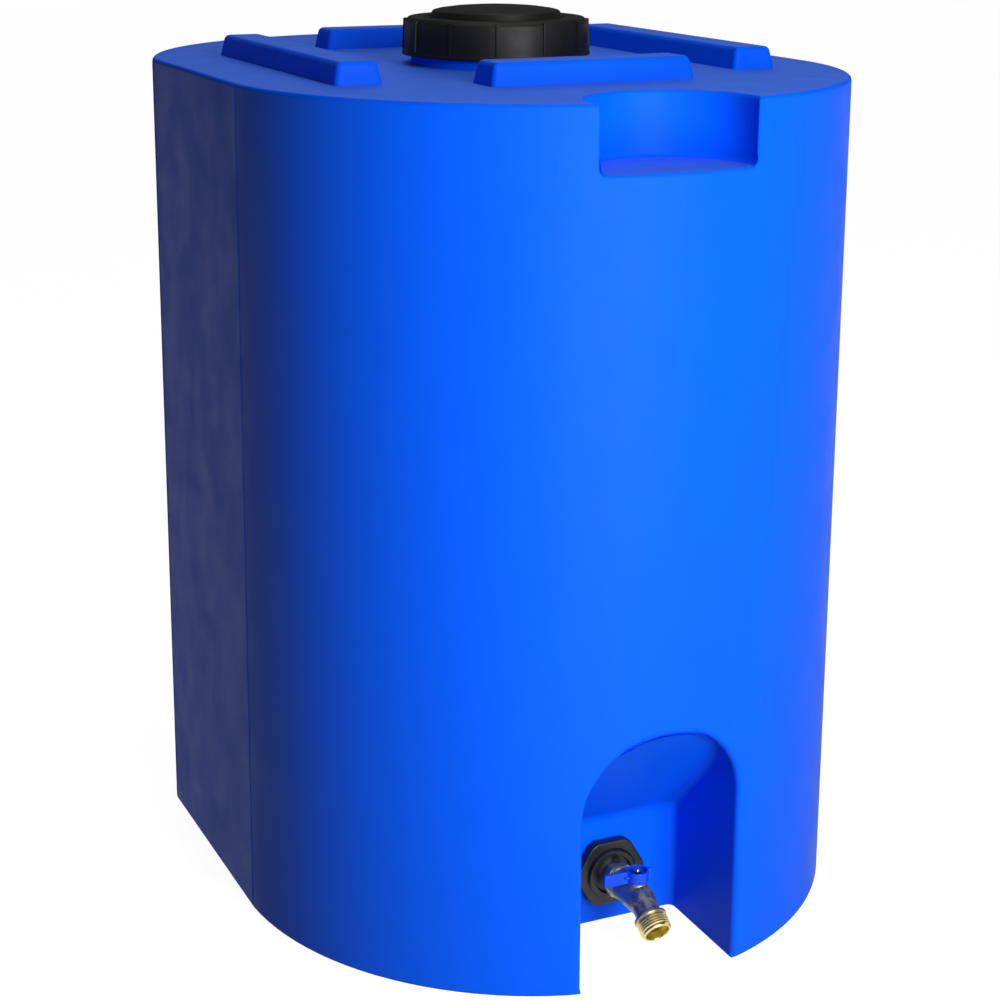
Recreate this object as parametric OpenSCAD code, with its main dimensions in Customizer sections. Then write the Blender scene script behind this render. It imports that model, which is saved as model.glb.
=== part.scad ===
// Upright blue polyethylene water storage tank with a screw cap and a spigot.
// Millimetres. +Z up, +X to the right, the spigot faces -Y. The origin is on the floor,
// under the middle of the tank.

/* [Tank] */
// Height of the flat deck above the floor
deck_z = 710; // [660:5:800]
// Width across the two flat sides, at the deck
tank_w = 524; // [500:2:560]
// Depth from the front to the back, at the deck
tank_d = 696; // [690:2:740]
// Distance from the middle of the tank to the front end of each flat side
front_flat = 100; // [90:5:130]
// Distance from the middle of the tank to the back end of each flat side
back_flat = 137; // [110:5:150]
// How much further out each wall stands at the floor than at the deck
draft = 6; // [0:1:8]
// Thickness of the moulded wall
wall = 5; // [4:0.5:6]

/* [Deck ridges] */
// Distance from the middle of the tank to the middle of each side ridge
side_ridge_off = 177; // [170:1:180]
// Distance from the middle of the tank to the middle of the front and back ridges
end_ridge_off = 183; // [175:1:190]
// Width of a ridge where it meets the deck
ridge_w = 42; // [38:1:46]
// Height of a ridge above the deck
ridge_h = 18; // [14:1:22]
// Length of the two ridges that run from front to back
side_ridge_l = 300; // [260:5:320]
// Length of the two ridges that run from side to side
end_ridge_l = 180; // [160:5:200]

/* [Filler neck and cap] */
// Height of the neck's rim above the deck
neck_h = 32; // [30:1:36]
// Radius of the neck's outer wall
neck_r = 73; // [70:0.5:74]
// Radius over the cap's grip ribs
cap_r = 81; // [80:0.5:84]
// Gap between the deck and the cap when it is screwed down
cap_gap = 8; // [6:1:10]
// Number of grip ribs round the cap
cap_ribs = 12; // [8:1:16]

/* [Carrying notch] */
// Width of the notch in the front edge of the deck
notch_w = 131; // [120:1:140]
// Depth of the notch's floor below the deck
notch_h = 51; // [45:1:60]
// How far the notch goes in from the front, at its middle
notch_d = 85; // [75:1:95]

/* [Spigot alcove] */
// Width of the alcove
alcove_w = 140; // [130:2:160]
// Height of the arch's crown above the floor
alcove_h = 218; // [205:1:230]
// Distance from the middle of the tank to the alcove's back wall
alcove_y = 240; // [235:1:250]
// Height at which the back wall starts to lean forward
alcove_lean_z = 98; // [90:1:110]

/* [Spigot] */
// Height of the spigot's centre line above the floor
spigot_z = 49; // [45:1:60]
// Sideways place of the spigot
spigot_x = 4; // [-5:1:10]
// Distance from the alcove's back wall to the middle of the ball
ball_at = 56; // [55:1:60]
// Radius of the ball
ball_r = 8.5; // [8.5:0.5:8.5]
// Radius of the water way
way_r = 5.5; // [5:0.5:6]
// Radius over the hose thread, 3/4 inch garden hose
hose_r = 13.2; // [13:0.1:13.4]
// Angle of the outlet below the horizontal
outlet_dip = 30; // [30:5:40]

/* [Hidden] */

$fn = 96;
eps = 0.01;                  // pushes a cutter past the face it cuts
big = 2000;                  // larger than anything here
fit = 0.05;                  // radial gap of a running or screwed fit

tank_blue = "#1456d8";
cap_black = "#1b1a18";
rubber_black = "#222222";
seal_white = "#e8e6df";
plated = "#8d9093";
brass = "#b59a4b";
handle_blue = "#1238b0";

// The plan is two round ends joined by two flat sides. An end is an arc that bows out from the
// ends of the flats. dir is -1 for the front and 1 for the back.
half_w = tank_w / 2;
half_d = tank_d / 2;
function bow(dir) = half_d - (dir < 0 ? front_flat : back_flat);
function end_r(dir) = (half_w * half_w + bow(dir) * bow(dir)) / (2 * bow(dir));
function end_c(dir) = half_d - end_r(dir);
// Distance of the front wall from the middle, at the deck, at a place x across
function front_at(x) = end_c(-1) + sqrt(end_r(-1) * end_r(-1) - x * x);

neck_y = -14;                // the neck stands a little in front of the middle
neck_wall = 7;
gasket_t = 3;
seal_gap = 0.1;
cap_roof = 4;
rim_z = deck_z + neck_h;     // top of the neck
cap_in_z = rim_z + gasket_t + 2 * seal_gap;
cap_bottom = deck_z + cap_gap;
cap_wall_r = 79;
cap_bore_r = 76;
dome_r = 57;
dome_h = 9.5;
crown_h = 4;
rib_turn = 6.5;              // where the ribs come to rest when the cap is tight

flange_gap = 2;              // thickness of the rubber under the flange
flange_t = 9;
flange_flats = 58;
barrel_r = 18;
barrel_in = 40;              // how far the bulkhead barrel reaches in from the wall's outer face
thread_r = 13.2;             // 3/4 inch pipe thread inside the barrel
washer_t = 1.5;
nut_t = 12;
collar_from = 20;
body_from = 34;
spigot_r = 10.4;
chamber_r = 9;
seat_gap = 0.1;
body_r = 12.5;
bend_at = ball_at + 10;
outlet_l = 31;               // from the bend to the mouth
hose_thread_l = 15;

// Heights with a y in their name are above the pipe's centre line.
stem_r = 3.1;
slot_y = 6.4;                // floor of the slot in the ball
tang_t = 3.6;                // thickness of the stem's tang, in that slot
flange_y0 = 8.7;             // the stem's flange
flange_y1 = 9.9;
shoulder_y = 10.6;           // the body's shoulder over the thrust washer
o_ring_y0 = 11.35;
o_ring_y1 = 12.25;
o_ring_in_r = 2.55;
box_y = 13;                  // floor of the packing box
boss_y = 16;                 // top of the body's boss
gland_top = 18.6;
hub_y0 = 18.9;               // the handle's hub
hub_y1 = 20.9;
stem_top = 25.4;
drive = 4.2;                 // width of the square under the handle
stem_thread_r = 2;
handle_long = 31;
cup_r = 9.6;                 // the handle's cup clears the body's boss
cup_in_r = 7.8;
handle_short = 13;

// A round, drafted end of the tank's body: a cone.
module end_cone(dir, inset) {
    translate([0, dir * end_c(dir), 0])
        cylinder(h = deck_z, r1 = end_r(dir) + draft - inset, r2 = end_r(dir) - inset, $fn = 160);
}

// All that lies behind (dir -1) or in front (dir 1) of the middle of an end.
module beyond_end(dir) {
    translate([-big / 2, dir < 0 ? -end_c(dir) : end_c(dir) - big, 0])
        cube([big, big, deck_z]);
}

// The tank's closed body, inset all round for the hollow.
module body_block(inset) {
    intersection() {
        union() { end_cone(-1, inset); beyond_end(-1); }
        union() { end_cone(1, inset); beyond_end(1); }
        rotate([90, 0, 0]) linear_extrude(big, center = true)
            polygon([[-half_w - draft + inset, 0], [half_w + draft - inset, 0],
                     [half_w - inset, deck_z], [-half_w + inset, deck_z]]);
    }
}

// A bar with four sloping sides, lying along X, its base on z = 0.
module ridge(length, width, height, lean) {
    intersection() {
        rotate([90, 0, 0]) linear_extrude(width + 1, center = true)
            polygon([[-length / 2, 0], [length / 2, 0],
                     [length / 2 - lean, height], [-length / 2 + lean, height]]);
        rotate([90, 0, 90]) linear_extrude(length + 1, center = true)
            polygon([[-width / 2, 0], [width / 2, 0],
                     [width / 2 - lean, height], [-width / 2 + lean, height]]);
    }
}

// The four ridges, or the hollows inside them.
module ridges(inset) {
    height = inset > 0 ? ridge_h - inset + wall : ridge_h + wall;
    lean = 4.5;
    for (side = [-1, 1]) {
        translate([side * side_ridge_off, 0, deck_z - wall]) rotate([0, 0, 90])
            ridge(side_ridge_l - 2 * inset, ridge_w - 2 * inset, height, lean);
        translate([0, side * end_ridge_off, deck_z - wall])
            ridge(end_ridge_l - 2 * inset, ridge_w - 2 * inset, height, lean);
    }
}

// The arch-shaped space in front of the spigot, grown by skin where it is the inside wall.
module alcove(skin) {
    r = alcove_w / 2 + skin;
    spring = alcove_h - alcove_w / 2;
    slope = (alcove_h + 4 - alcove_lean_z) / (half_d + draft - alcove_y);
    rise = skin * (sqrt(1 + slope * slope) - slope);
    reach = 200;
    intersection() {
        translate([0, -alcove_y + skin, 0]) rotate([90, 0, 0]) linear_extrude(reach) union() {
            translate([-r, -1]) square([2 * r, spring + 1]);
            translate([0, spring]) circle(r = r);
        }
        rotate([90, 0, 90]) linear_extrude(big, center = true)
            polygon([[-alcove_y + skin, -2], [-alcove_y + skin, alcove_lean_z + rise],
                     [-alcove_y + skin - reach, alcove_lean_z + rise + reach * slope],
                     [-alcove_y + skin - reach, -2]]);
    }
}

// The pocket in the front edge of the deck: its back is one arc.
module notch(skin) {
    edge_y = front_at(notch_w / 2);
    deep_y = half_d - notch_d;
    sag = edge_y - deep_y;
    r = (notch_w * notch_w / 4 + sag * sag) / (2 * sag);
    translate([0, -deep_y - r, deck_z - notch_h - skin])
        intersection() {
            cylinder(h = notch_h + skin + 1, r = r + skin, $fn = 128);
            translate([-big / 2, r - sag - skin - 0.01 - 200, 0]) cube([big, 200 + sag + 2 * skin + 1, big]);
        }
    translate([-notch_w / 2 - skin, -edge_y - 60, deck_z - notch_h - skin])
        cube([notch_w + 2 * skin, 60, notch_h + skin + 1]);
}

// The spigot's frame, on the alcove's back wall: local z runs forwards and local y runs up.
module on_spigot() {
    translate([spigot_x, -alcove_y, spigot_z]) rotate([90, 0, 0]) children();
}

// A tube along +Z.
module ring(r_out, r_in, z0, z1) {
    translate([0, 0, z0]) difference() {
        cylinder(h = z1 - z0, r = r_out);
        translate([0, 0, -1]) cylinder(h = z1 - z0 + 2, r = r_in);
    }
}

// A hexagon with turned corners, flats facing up and down.
module hexagon(flats, corner_r, z0, z1) {
    translate([0, 0, z0]) intersection() {
        cylinder(h = z1 - z0, r = flats / sqrt(3), $fn = 6);
        cylinder(h = z1 - z0, r = corner_r);
    }
}

// The stem's frame, inside the spigot's: its origin is the ball's centre and local z runs up.
module on_stem() {
    translate([0, 0, ball_at]) rotate([-90, 0, 0]) children();
}

// The outlet's frame: local z runs out through the mouth.
module on_outlet() {
    translate([0, 0, bend_at]) rotate([outlet_dip, 0, 0]) children();
}

module tank_shell() {
    color(tank_blue) difference() {
        union() {
            difference() {
                union() { body_block(0); ridges(0); }
                difference() {
                    union() {
                        difference() {
                            body_block(wall);
                            translate([-big / 2, -big / 2, -1]) cube([big, big, wall + 1]);
                            translate([-big / 2, -big / 2, deck_z - wall]) cube([big, big, wall + 1]);
                        }
                        ridges(wall);
                    }
                    alcove(wall);
                    notch(wall);
                }
            }
            translate([0, neck_y, deck_z - wall]) cylinder(h = neck_h + wall, r = neck_r);
        }
        translate([0, neck_y, deck_z - 40]) cylinder(h = 100, r = neck_r - neck_wall);
        alcove(0);
        notch(0);
        on_spigot() translate([0, 0, -20]) cylinder(h = 40, r = barrel_r + 0.5);
    }
}

module filler_cap() {
    color(cap_black) translate([0, neck_y, 0]) difference() {
        union() {
            rotate_extrude() polygon([
                [0, cap_bottom], [cap_r, cap_bottom], [cap_r, cap_bottom + 1.5],
                [cap_wall_r, cap_bottom + 5], [cap_wall_r - 0.8, cap_in_z + 1.5],
                [cap_wall_r - 3.5, cap_in_z + cap_roof], [dome_r + 3, cap_in_z + cap_roof],
                [dome_r + 2, cap_in_z + cap_roof - 1.5], [dome_r, cap_in_z + cap_roof - 1.5],
                [dome_r - 2, cap_in_z + dome_h], [dome_r - 8, cap_in_z + dome_h + 1.2],
                [0, cap_in_z + dome_h + crown_h]]);
            for (i = [0 : cap_ribs - 1]) rotate([0, 0, rib_turn + i * 360 / cap_ribs])
                translate([cap_wall_r - 3, -1.6, cap_bottom + 1])
                    cube([cap_r - cap_wall_r + 3 - 0.3, 3.2, cap_in_z - cap_bottom + 1.5]);
            translate([0, 0, cap_in_z + dome_h]) cylinder(h = crown_h + 0.8, r = 2.2);
        }
        translate([0, 0, cap_bottom - 1]) cylinder(h = cap_in_z - cap_bottom + 1, r = cap_bore_r);
    }
}

module cap_gasket() {
    color(rubber_black) translate([0, neck_y, 0])
        ring(neck_r + 1.5, neck_r - neck_wall - 1, rim_z + seal_gap, rim_z + seal_gap + gasket_t);
}

module bulkhead_body() {
    z0 = flange_gap;
    color(cap_black) on_spigot() difference() {
        union() {
            hexagon(flange_flats, 31.5, z0, z0 + flange_t);
            translate([0, 0, z0 + flange_t]) cylinder(h = 3.5, r1 = 22.5, r2 = 21);
            translate([0, 0, -barrel_in]) cylinder(h = barrel_in + z0 + 1, r = barrel_r);
        }
        translate([0, 0, -barrel_in - 1]) cylinder(h = barrel_in + 40, r = thread_r);
        translate([0, 0, z0 + flange_t]) cylinder(h = 4, r = 17);
    }
}

module bulkhead_gasket() {
    color(rubber_black) on_spigot() ring(25, barrel_r + fit, 0.02, flange_gap - 0.02);
}

module bulkhead_washer() {
    color(cap_black) on_spigot() ring(26, barrel_r + fit, -wall - washer_t - 0.02, -wall - 0.02);
}

module bulkhead_nut() {
    z1 = -wall - washer_t - 0.04;
    color(cap_black) on_spigot() difference() {
        hexagon(50, 27.5, z1 - nut_t, z1);
        translate([0, 0, z1 - nut_t - 1]) cylinder(h = nut_t + 2, r = barrel_r + fit);
    }
}

module inlet_piece() {
    color(plated) on_spigot() difference() {
        union() {
            translate([0, 0, -4]) cylinder(h = collar_from + 4 + eps, r = thread_r - fit);
            hexagon(28, 15.5, collar_from, collar_from + 8);
            translate([0, 0, collar_from + 8]) cylinder(h = body_from - collar_from - 8.1, r = 13.6);
            translate([0, 0, collar_from]) cylinder(h = ball_at - collar_from - 10.4, r = spigot_r);
        }
        translate([0, 0, -5]) cylinder(h = ball_at, r = way_r);
    }
}

module valve_body() {
    color(plated) on_spigot() difference() {
        union() {
            translate([0, 0, body_from]) cylinder(h = bend_at - 2 - body_from, r = body_r);
            translate([0, 0, bend_at - 2]) sphere(r = body_r);
            on_stem() cylinder(h = boss_y, r = 7.5);
            on_outlet() cylinder(h = outlet_l - hose_thread_l + 1, r = 10.8);
            on_outlet() translate([0, 0, outlet_l - hose_thread_l - 1.5]) cylinder(h = 3.5, r = 13.8);
            on_outlet() translate([0, 0, outlet_l - hose_thread_l]) cylinder(h = hose_thread_l, r = hose_r);
        }
        translate([0, 0, body_from - 1]) cylinder(h = ball_at - 10.3 - body_from + 1, r = spigot_r + fit);
        translate([0, 0, ball_at - 10.4]) cylinder(h = 20.8, r = chamber_r);
        cylinder(h = bend_at, r = way_r);
        on_outlet() cylinder(h = outlet_l + 1, r = way_r);
        on_outlet() translate([0, 0, outlet_l - 12]) cylinder(h = 20, r = 10);
        on_stem() cylinder(h = shoulder_y, r = 4.7);
        on_stem() cylinder(h = boss_y + 1, r = stem_r + fit);
        on_stem() translate([0, 0, box_y]) cylinder(h = 10, r = 5.2);
    }
}

// A seat is a ring hollowed to the ball's curve. dir is -1 on the inlet side and 1 on the outlet.
module ball_seat(dir) {
    from = dir < 0 ? ball_at - 10.4 + seat_gap : ball_at + 5;
    to = dir < 0 ? ball_at - 5 : ball_at + 10.4 - seat_gap;
    color(seal_white) on_spigot() difference() {
        ring(chamber_r - fit, way_r, from, to);
        translate([0, 0, ball_at]) sphere(r = ball_r + fit);
        on_stem() cylinder(h = 20, r = 4.9);
    }
}

module inlet_ball_seat() { ball_seat(-1); }
module outlet_ball_seat() { ball_seat(1); }

// Drawn closed: its way lies across the pipe.
module valve_ball() {
    color("silver") on_spigot() translate([0, 0, ball_at]) difference() {
        rotate([0, 90, 0]) rotate_extrude() difference() {
            circle(r = ball_r);
            translate([-big, -big / 2]) square([big + way_r - 0.3, big]);
        }
        translate([-5.2, slot_y, -tang_t / 2 - 0.1]) cube([10.4, 5, tang_t + 0.2]);
    }
}

module valve_stem() {
    color(brass) on_spigot() on_stem() difference() {
        union() {
            intersection() {
                translate([-3.9, -tang_t / 2, slot_y + 0.1]) cube([7.8, tang_t, flange_y0 - slot_y]);
                cylinder(h = 20, r = 4.4);
            }
            translate([0, 0, flange_y0]) cylinder(h = flange_y1 - flange_y0, r = 4.5);
            translate([0, 0, flange_y0]) cylinder(h = hub_y0 - 0.3 - flange_y0, r = stem_r - 0.02);
            translate([-drive / 2, -drive / 2, box_y]) cube([drive, drive, hub_y1 - box_y]);
            translate([0, 0, box_y]) cylinder(h = stem_top - box_y, r = stem_thread_r);
        }
        ring(4, o_ring_in_r - fit, o_ring_y0 - 0.1, o_ring_y1 + 0.1);
    }
}

module stem_thrust_washer() {
    color(seal_white) on_spigot() on_stem() ring(4.6, stem_r + fit, flange_y1 + 0.05, shoulder_y - 0.05);
}

module stem_o_ring() {
    color(rubber_black) on_spigot() on_stem() ring(stem_r, o_ring_in_r, o_ring_y0, o_ring_y1);
}

module stem_packing() {
    color(seal_white) on_spigot() on_stem() ring(5.15, stem_r + fit, box_y + 0.05, box_y + 1.4);
}

module gland_nut() {
    color(plated) on_spigot() on_stem() difference() {
        union() {
            translate([0, 0, box_y + 1.45]) cylinder(h = boss_y - box_y, r = 5.15);
            hexagon(12, 6.6, boss_y + 0.1, gland_top);
        }
        cylinder(h = 40, r = stem_r + fit);
    }
}

// A cup over the gland with one long and one short wing, drawn across the pipe, which is closed.
module valve_handle() {
    wing_t = 3;
    wing_y0 = 14;
    wing_y1 = 25;
    color(handle_blue) on_spigot() on_stem() difference() {
        union() {
            translate([0, 0, hub_y0]) cylinder(h = hub_y1 - hub_y0, r = cup_r - 1);
            ring(cup_r, cup_in_r, wing_y0 + 0.6, wing_y1 - 0.5);
            intersection() {
                translate([-handle_long, -wing_t / 2, wing_y0])
                    cube([handle_long + handle_short, wing_t, wing_y1 - wing_y0]);
                rotate([90, 0, 0]) linear_extrude(20, center = true)
                    polygon([[-handle_long, wing_y0], [-cup_r, wing_y0], [-cup_in_r - 0.5, hub_y0], [cup_in_r + 0.5, hub_y0],
                             [cup_r, wing_y0 + 1], [handle_short, wing_y0 + 1], [handle_short, wing_y1 - 1],
                             [6.5, hub_y1], [-6.5, hub_y1], [-12, wing_y1], [-handle_long, wing_y1]]);
            }
        }
        translate([-drive / 2 - fit, -drive / 2 - fit, 0]) cube([drive + 2 * fit, drive + 2 * fit, 40]);
    }
}

module handle_washer() {
    color(plated) on_spigot() on_stem() ring(4.2, stem_thread_r + 2 * fit, hub_y1 + 0.05, hub_y1 + 0.75);
}

module handle_nut() {
    z0 = hub_y1 + 0.8;
    color(plated) on_spigot() on_stem() difference() {
        hexagon(7.4, 4.1, z0, z0 + 3);
        translate([0, 0, z0 - 1]) cylinder(h = 5, r = stem_thread_r + fit);
    }
}

tank_shell();
filler_cap();
cap_gasket();
bulkhead_body();
bulkhead_gasket();
bulkhead_washer();
bulkhead_nut();
inlet_piece();
valve_body();
inlet_ball_seat();
outlet_ball_seat();
valve_ball();
valve_stem();
stem_thrust_washer();
stem_o_ring();
stem_packing();
gland_nut();
valve_handle();
handle_washer();
handle_nut();
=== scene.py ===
"""Visual model of an upright water storage tank with a screw cap and a hose spigot.

Shapes are made in millimetres and scaled to metres when a piece is finished.
"""

import logging
import math
from collections.abc import Callable, Sequence
from dataclasses import dataclass
from enum import Enum

import bmesh
import bpy
from mathutils import Matrix, Vector


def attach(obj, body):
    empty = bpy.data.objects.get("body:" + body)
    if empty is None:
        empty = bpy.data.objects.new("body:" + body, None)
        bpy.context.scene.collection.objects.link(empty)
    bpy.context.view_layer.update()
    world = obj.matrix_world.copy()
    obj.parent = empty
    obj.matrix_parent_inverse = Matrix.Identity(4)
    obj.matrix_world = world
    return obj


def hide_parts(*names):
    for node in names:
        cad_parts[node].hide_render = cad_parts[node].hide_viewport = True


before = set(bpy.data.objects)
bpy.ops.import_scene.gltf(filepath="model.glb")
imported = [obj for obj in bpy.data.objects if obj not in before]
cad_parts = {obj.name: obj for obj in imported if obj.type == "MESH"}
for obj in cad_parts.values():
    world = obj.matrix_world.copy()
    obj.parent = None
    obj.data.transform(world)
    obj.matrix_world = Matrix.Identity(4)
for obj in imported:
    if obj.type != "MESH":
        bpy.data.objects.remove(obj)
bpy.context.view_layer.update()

LOG = logging.getLogger("tank")
MM = 0.001
TINY = 1e-4
# A cutting solid runs this far past the face it cuts, so that no two faces meet.
BEYOND = 66.0
# The filler neck's axis, and the middle of the spigot's hole in the alcove's back wall.
NECK = Vector((0.0, -14.0, 0.0))
SPIGOT = Vector((4.0, -240.0, 49.0))
# Rise of the cap's thread in one turn.
CAP_PITCH = 6.0
# Angle up to which two faces are shaded as one, in degrees.
SMOOTH = 32.0
Profile = Sequence[tuple[float, float]]


class Body(Enum):
    """The moving bodies that pieces ride on."""

    TANK = "tank"
    CAP = "cap"
    LEVER = "lever"


class Join(Enum):
    """What a solid does to the one it meets."""

    ADD = "UNION"
    CUT = "DIFFERENCE"


# ---- shape helpers


def turned(
    profile: Profile, place: Matrix = Matrix(), steps: int = 96, ring: bool = False
) -> bmesh.types.BMesh:
    """Turns a profile about the Z axis, as on a lathe.

    Args:
        profile: Points as (radius, height). An open profile starts and ends on the axis.
        place: Where the turned solid goes.
        steps: Number of facets round the axis.
        ring: True where the profile is closed and leaves the axis free.

    Returns:
        The closed solid.
    """
    bm = bmesh.new()
    verts = [bm.verts.new((radius, 0.0, height)) for radius, height in profile]
    pairs = list(zip(verts, verts[1:]))
    if ring:
        pairs.append((verts[-1], verts[0]))
    edges = [bm.edges.new(pair) for pair in pairs]
    bmesh.ops.spin(
        bm, geom=verts + edges, cent=(0, 0, 0), axis=(0, 0, 1), dvec=(0, 0, 0),
        angle=math.tau, steps=steps, use_merge=True, use_duplicate=False,
    )
    bmesh.ops.remove_doubles(bm, verts=bm.verts, dist=TINY)
    bmesh.ops.recalc_face_normals(bm, faces=bm.faces)
    bmesh.ops.transform(bm, matrix=place, verts=bm.verts)
    return bm


def cylinder(
    radius: float, low: float, high: float, place: Matrix = Matrix(), steps: int = 96
) -> bmesh.types.BMesh:
    """Makes a plain cylinder about the Z axis.

    Args:
        radius: Its radius.
        low: Height of its lower face.
        high: Height of its upper face.
        place: Where the cylinder goes.
        steps: Number of facets round the axis.

    Returns:
        The closed cylinder.
    """
    return turned([(0, low), (radius, low), (radius, high), (0, high)], place, steps)


def prism(
    outline: Sequence[tuple[float, float]], low: float, high: float, place: Matrix = Matrix()
) -> bmesh.types.BMesh:
    """Extrudes a flat outline along Z.

    Args:
        outline: Corner points in the XY plane.
        low: Z of the lower face.
        high: Z of the upper face.
        place: Where the solid goes.

    Returns:
        The closed solid.
    """
    bm = bmesh.new()
    base = bm.faces.new([bm.verts.new((x, y, low)) for x, y in outline])
    made = bmesh.ops.extrude_face_region(bm, geom=[base])
    top = [item for item in made["geom"] if isinstance(item, bmesh.types.BMVert)]
    bmesh.ops.translate(bm, verts=top, vec=(0, 0, high - low))
    bmesh.ops.recalc_face_normals(bm, faces=bm.faces)
    bmesh.ops.transform(bm, matrix=place, verts=bm.verts)
    return bm


def tooth(root: float, crest: float, low: float, flank: float, land: float) -> list[tuple[float, float]]:
    """Gives the section of a thread with a flat crest.

    Args:
        root: Radius of the thread's foot, a little inside the wall that carries it.
        crest: Radius of its crest.
        low: Height at which it starts.
        flank: Height of each sloping side.
        land: Height of the crest.

    Returns:
        The four corners as (radius, height), from the lowest up.
    """
    top = low + 2 * flank + land
    return [(root, low), (crest, low + flank), (crest, low + flank + land), (root, top)]


def helix(
    section: Profile, pitch: float, turns: float, place: Matrix = Matrix(), steps: int = 72
) -> bmesh.types.BMesh:
    """Sweeps a thread's section along a right-hand helix.

    Args:
        section: Corners of the section as (radius, height), at the thread's lower end.
        pitch: Rise in one turn.
        turns: Number of turns.
        place: Where the thread goes.
        steps: Facets in one turn.

    Returns:
        The closed thread, to be sunk a little into the wall that carries it.
    """
    bm = bmesh.new()
    verts = [bm.verts.new((radius, 0.0, height)) for radius, height in section]
    edges = [bm.edges.new(pair) for pair in zip(verts, verts[1:] + verts[:1])]
    count = round(steps * turns)
    bmesh.ops.spin(
        bm, geom=verts + edges, cent=(0, 0, 0), axis=(0, 0, 1), dvec=(0, 0, pitch * turns / count),
        angle=math.tau * turns, steps=count, use_merge=False, use_duplicate=False,
    )
    bmesh.ops.holes_fill(bm, edges=[edge for edge in bm.edges if edge.is_boundary], sides=0)
    bmesh.ops.recalc_face_normals(bm, faces=bm.faces)
    bmesh.ops.transform(bm, matrix=place, verts=bm.verts)
    return bm


def merged(*parts: bmesh.types.BMesh) -> bmesh.types.BMesh:
    """Puts several solids in one mesh.

    Args:
        parts: The solids, which are used up.

    Returns:
        One mesh that holds them all.
    """
    whole = bmesh.new()
    for part in parts:
        mesh = bpy.data.meshes.new("part")
        part.to_mesh(mesh)
        part.free()
        whole.from_mesh(mesh)
        bpy.data.meshes.remove(mesh)
    return whole


def carved(base: bmesh.types.BMesh, *cuts: tuple[Join, bmesh.types.BMesh]) -> bmesh.types.BMesh:
    """Adds solids to a base and cuts others from it, in the order given.

    Args:
        base: The solid to start from, which is used up.
        cuts: Pairs of what to do and the solid to do it with, which is used up.

    Returns:
        The solid that is left.
    """
    held = []
    for solid in (base, *(solid for _, solid in cuts)):
        mesh = bpy.data.meshes.new("solid")
        solid.to_mesh(mesh)
        solid.free()
        held.append(bpy.data.objects.new("solid", mesh))
        bpy.context.scene.collection.objects.link(held[-1])
    for (how, _), tool in zip(cuts, held[1:]):
        step = held[0].modifiers.new("step", "BOOLEAN")
        step.operation = how.value
        step.solver = "EXACT"
        step.object = tool
    graph = bpy.context.evaluated_depsgraph_get()
    result = bpy.data.meshes.new_from_object(held[0].evaluated_get(graph))
    left = bmesh.new()
    left.from_mesh(result)
    bpy.data.meshes.remove(result)
    for holder in held:
        mesh = holder.data
        bpy.data.objects.remove(holder)
        bpy.data.meshes.remove(mesh)
    return left


def rounded(
    bm: bmesh.types.BMesh, radius: float, where: Callable[[Vector], bool] = lambda point: True,
    segments: int = 3, least: float = 35.0, convex_only: bool = False,
) -> bmesh.types.BMesh:
    """Rounds the sharp edges of a solid.

    Args:
        bm: The solid.
        radius: Width that the rounding takes from each face.
        where: Says from an edge's middle whether it is rounded.
        segments: Facets across the rounding.
        least: Smallest angle between two faces that counts as sharp, in degrees.
        convex_only: True leaves inside corners sharp.

    Returns:
        The same solid.
    """
    chosen = []
    for edge in bm.edges:
        if len(edge.link_faces) != 2:
            continue
        turn = edge.calc_face_angle_signed()
        if abs(turn) < math.radians(least) or (convex_only and turn < 0):
            continue
        if where((edge.verts[0].co + edge.verts[1].co) / 2):
            chosen.append(edge)
    bmesh.ops.bevel(
        bm, geom=chosen, offset=radius, offset_type="OFFSET", segments=segments, profile=0.5,
        affect="EDGES", material=-1, clamp_overlap=False,
    )
    return bm


def box_solid(low: Sequence[float], high: Sequence[float]) -> bmesh.types.BMesh:
    """Makes a box between two corners.

    Args:
        low: Its lowest corner.
        high: Its highest corner.

    Returns:
        The box.
    """
    bm = bmesh.new()
    size = Vector(high) - Vector(low)
    middle = (Vector(high) + Vector(low)) / 2
    bmesh.ops.create_cube(bm, size=1.0, matrix=Matrix.LocRotScale(middle, None, size))
    return bm


def arc(
    centre: tuple[float, float], radius: float, start: float, end: float, steps: int
) -> list[tuple[float, float]]:
    """Gives points along a circle.

    Args:
        centre: The circle's centre.
        radius: Its radius.
        start: Angle of the first point, in degrees.
        end: Angle of the last point, in degrees.
        steps: Number of chords.

    Returns:
        One point more than there are chords.
    """
    angles = [math.radians(start + (end - start) * i / steps) for i in range(steps + 1)]
    return [(centre[0] + radius * math.cos(a), centre[1] + radius * math.sin(a)) for a in angles]


def finished(
    bm: bmesh.types.BMesh, name: str, body: Body, node: str, slot: str, *materials: bpy.types.Material
) -> None:
    """Makes a solid a piece of the model.

    Args:
        bm: The solid in millimetres, which is used up.
        name: The piece's name.
        body: The body it rides on.
        node: The CAD node it replaces.
        slot: The record's material slot for the piece; not used.
        materials: Its materials, in the order of its faces' material numbers.
    """
    bmesh.ops.scale(bm, vec=(MM, MM, MM), verts=bm.verts)
    mesh = bpy.data.meshes.new(name)
    for face in bm.faces:
        face.smooth = True
    bm.to_mesh(mesh)
    bm.free()
    mesh.set_sharp_from_angle(angle=math.radians(SMOOTH))
    for material in materials:
        mesh.materials.append(material)
    piece = bpy.data.objects.new(name, mesh)
    bpy.context.scene.collection.objects.link(piece)
    weighted = piece.modifiers.new("even_shading", "WEIGHTED_NORMAL")
    weighted.keep_sharp = True
    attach(piece, body.value)
    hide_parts(node)
    LOG.info("%s: %d faces", name, len(mesh.polygons))


# ---- finishes


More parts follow.
